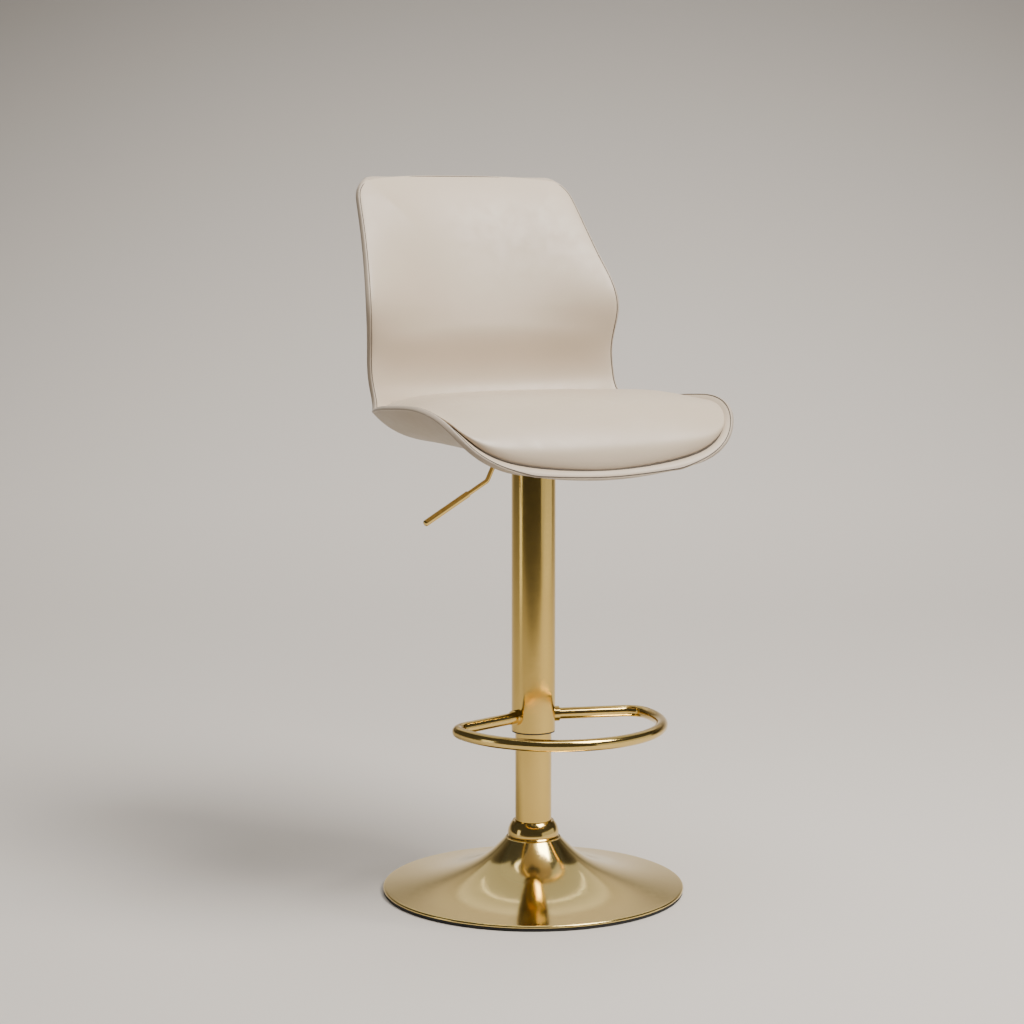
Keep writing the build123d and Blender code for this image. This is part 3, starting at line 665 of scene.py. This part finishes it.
def cushion_crease_shade():
    """A thin near-black cord round the cushion's foot, where it is sewn down on the scoop: painted shade
    in the crease.
    """
    plan, base = list(cushion_rings(CUSHION_SEAM_COUNT, 1))[-1][:2]
    line = CUSHION_MIDDLE + (plan - CUSHION_MIDDLE) * CUSHION_SEAM_SCALE
    verts, faces = cord(np.column_stack([line, base + CUSHION_SEAM_LIFT]) * MM, CUSHION_SEAM_R * MM)
    mesh_piece("cushion_crease_shade", verts, faces, seam_painted_shade, "seat")


cushion()
cushion_crease_shade()

# ---------------------------------------------------------------- base dish

# The spun dish's profile as (radius, height) in millimetres: the top face, the rolled lip and
# its foot on the rubber ring. The under face is one sheet thickness lower.
DISH_TOP = ((36.5, 76), (50, 62), (75, 42), (110, 26), (150, 15.5), (204, 8.3))
DISH_LIP = ((204, 8.3), (206.6, 7.5), (207.5, 6.0))
DISH_FOOT = ((207.5, 5.0), (207.3, 4.8), (205.2, 4.8), (205.0, 5.0))
DISH_SHEET = 2.0
DISH_TOP_ROWS = 64
DISH_LIP_ROWS = 12
DISH_SEGMENTS = 256


def curve_through(points, count):
    """count points along a smooth curve through the given ones."""
    points = np.array(points, float)
    steps = np.linalg.norm(np.diff(points, axis=0), axis=1)
    knots = np.concatenate([[0], np.cumsum(steps)])
    return spline_through(knots, points, np.linspace(0, knots[-1], count))


def spun_dish():
    """The dish as one closed sheet of metal, spun round the column's axis."""
    top = curve_through(DISH_TOP, DISH_TOP_ROWS)
    lip = curve_through(DISH_LIP, DISH_LIP_ROWS)[1:]
    under = (top - (0, DISH_SHEET))[::-1]
    profile = np.concatenate([top, lip, DISH_FOOT, under])
    angle = np.linspace(0, 2 * math.pi, DISH_SEGMENTS, endpoint=False)
    radius, height = profile[:, :1], profile[:, 1:]
    rings = np.stack([radius * np.cos(angle), radius * np.sin(angle), height + 0 * angle], -1)
    faces = ring_faces(len(profile), DISH_SEGMENTS)
    verts = rings.reshape(-1, 3) * MM
    mesh_piece("base_dish_spun", verts, faces, dish_gold, "base", ["base_dish"])


spun_dish()

# ---------------------------------------------------------------- materials of the CAD nodes

FINISHES = {
    "base_collar": polished_gold, "column_tube": tube_gold, "sleeve_tube": tube_gold,
    "footrest_loop": polished_gold, "footrest_welds": polished_gold, "lever_rod": polished_gold,
    "lever_grip": polished_gold, "base_rubber_ring": base_rubber, "ballast_disc": cast_iron,
    "bottom_cover": black_nylon, "column_plug": zinc_steel, "base_washer": zinc_steel,
    "base_nut": zinc_steel, "column_bush": black_nylon, "bearing_lower_race": zinc_steel,
    "bearing_balls": chrome, "bearing_upper_race": zinc_steel, "rod_clip": zinc_steel,
    "piston_rod": chrome, "piston": black_nylon, "pressure_tube": black_steel,
    "rod_gland": black_nylon, "sleeve_cap": black_nylon, "sleeve_bush": black_nylon,
    "seat_plate": black_steel, "cone_socket": black_steel, "plate_bolts": zinc_steel,
    "bolt_washers": zinc_steel, "lever_bracket": black_steel, "lever_pivot_pin": zinc_steel,
    "shell_inserts": zinc_steel, "release_button": zinc_steel, "plate_spacers": black_nylon,
}
for node_name, finish in FINISHES.items():
    node = nodes[node_name]
    if node.material_slots:
        for material_slot in node.material_slots:
            material_slot.material = finish
    else:
        node.data.materials.append(finish)

# ---------------------------------------------------------------- studio

# The paper lies on the floor from in front of the stool to where it bends up behind it.
PAPER_FRONT = 2.0
PAPER_BEND = 2.4
PAPER_BEND_R = 2.2
PAPER_BEND_STEPS = 24
PAPER_TOP = 9.0
STAGE_SIDE = 8.0
STAGE_DROP = 0.002
# The paper's colour is painted darker towards the top of the picture, as painted shade where the light
# falls off, and is pale again above it, where only the polished dish sees it: the share of PAPER_GRADED
# metres above the floor, and the colour.
PAPER_GRADED = 3.0
PAPER_PAINTED_SHADING = (
    (0.05, (0.690, 0.642, 0.588)),
    (0.57, (0.230, 0.213, 0.192)),
    (0.76, (0.500, 0.462, 0.418)),
)
WORLD_COLOUR = (0.86, 0.84, 0.81, 1)
WORLD_STRENGTH = 0.09

STOOL_MIDDLE = (0, 0, 0.5)
BACKDROP = (2.37, 3.93, 0.9)
WARM = (1.0, 0.975, 0.94)
SOFT_WARM = (1.0, 0.975, 0.945)
NEUTRAL = (1.0, 0.985, 0.96)
# Soft lights: name, azimuth, elevation, distance, size, power, colour and what it is aimed at.
LIGHTS = (
    ("key_light", 30, 56, 3.2, (1.5, 1.5), 168, WARM, STOOL_MIDDLE),
    ("left_strip", -98, -2, 2.7, (0.7, 1.4), 4.3, NEUTRAL, STOOL_MIDDLE),
    ("right_panel", 47, -2, 2.9, (4.1, 1.2), 11, NEUTRAL, STOOL_MIDDLE),
    ("top_light", 0, 88, 3.2, (2.4, 2.4), 66, NEUTRAL, STOOL_MIDDLE),
    ("rear_light", 152, 52, 3.6, (5.0, 3.4), 30, NEUTRAL, STOOL_MIDDLE),
    ("backdrop_light", -28, 48, 2.6, (3.2, 0.8), 62, SOFT_WARM, BACKDROP),
)


def add_paper():
    """Pale paper that sweeps up into a backdrop."""
    paper = Shader("studio_paper", Specular_IOR_Level=0.2, Roughness=0.6)
    split = paper.tree.nodes.new("ShaderNodeSeparateXYZ")
    paper.link(paper.coords, split.inputs["Vector"])
    rise = paper.ranged(split.outputs["Z"], low=0, high=1, start=0, end=PAPER_GRADED)
    # The graded colour is painted shade: the light's falloff up the backdrop.
    paper.colour(paper.graded(rise, PAPER_PAINTED_SHADING))
    profile = [(-PAPER_FRONT, 0.0), (PAPER_BEND, 0.0)]
    for step in range(1, PAPER_BEND_STEPS + 1):
        angle = 0.5 * math.pi * step / PAPER_BEND_STEPS
        out, up = math.sin(angle), 1 - math.cos(angle)
        profile.append((PAPER_BEND + PAPER_BEND_R * out, PAPER_BEND_R * up))
    profile.append((PAPER_BEND + PAPER_BEND_R, PAPER_TOP))
    verts = []
    for side in (-STAGE_SIDE, STAGE_SIDE):
        for depth, height in profile:
            verts.append(CAMERA_RIGHT * side - TOWARDS_CAMERA * depth + UP * height)
    faces = grid_faces(2, len(profile))
    smooth_object("studio_sweep", verts, faces, paper.material)


def add_floor():
    """A dark studio floor, just below the paper and in front of it."""
    floor = Shader("studio_floor", Specular_IOR_Level=0.2, Roughness=0.8)
    floor.colour(floor.mixed(floor.noise(scale=3.0), (0.120, 0.112, 0.103), (0.140, 0.132, 0.122)))
    verts = []
    for near, side in ((1, -1), (1, 1), (-1, 1), (-1, -1)):
        verts.append((TOWARDS_CAMERA * near + CAMERA_RIGHT * side) * STAGE_SIDE - UP * STAGE_DROP)
    smooth_object("studio_floor", verts, [(0, 1, 2, 3)], floor.material)


def add_softbox(name, azimuth, elevation, distance, size, power, colour, target):
    """A rectangular soft light, aimed at its target. Azimuth 0 is in front, +90 at its left."""
    angle, lift = math.radians(azimuth), math.radians(elevation)
    flat = Vector((math.sin(angle), -math.cos(angle), 0))
    direction = flat * math.cos(lift) + UP * math.sin(lift)
    data = bpy.data.lights.new(name, "AREA")
    data.shape = "RECTANGLE"
    data.size, data.size_y = size
    data.energy = power
    data.color = colour
    lamp = bpy.data.objects.new(name, data)
    lamp.location = Vector(target) + direction * distance
    lamp.rotation_euler = direction.to_track_quat("Z", "Y").to_euler()
    scene.collection.objects.link(lamp)


def add_world():
    world = bpy.data.worlds.new("studio")
    scene.world = world
    world.use_nodes = True
    background = world.node_tree.nodes["Background"]
    background.inputs["Color"].default_value = WORLD_COLOUR
    background.inputs["Strength"].default_value = WORLD_STRENGTH


add_paper()
add_floor()
add_world()
for light in LIGHTS:
    add_softbox(*light)
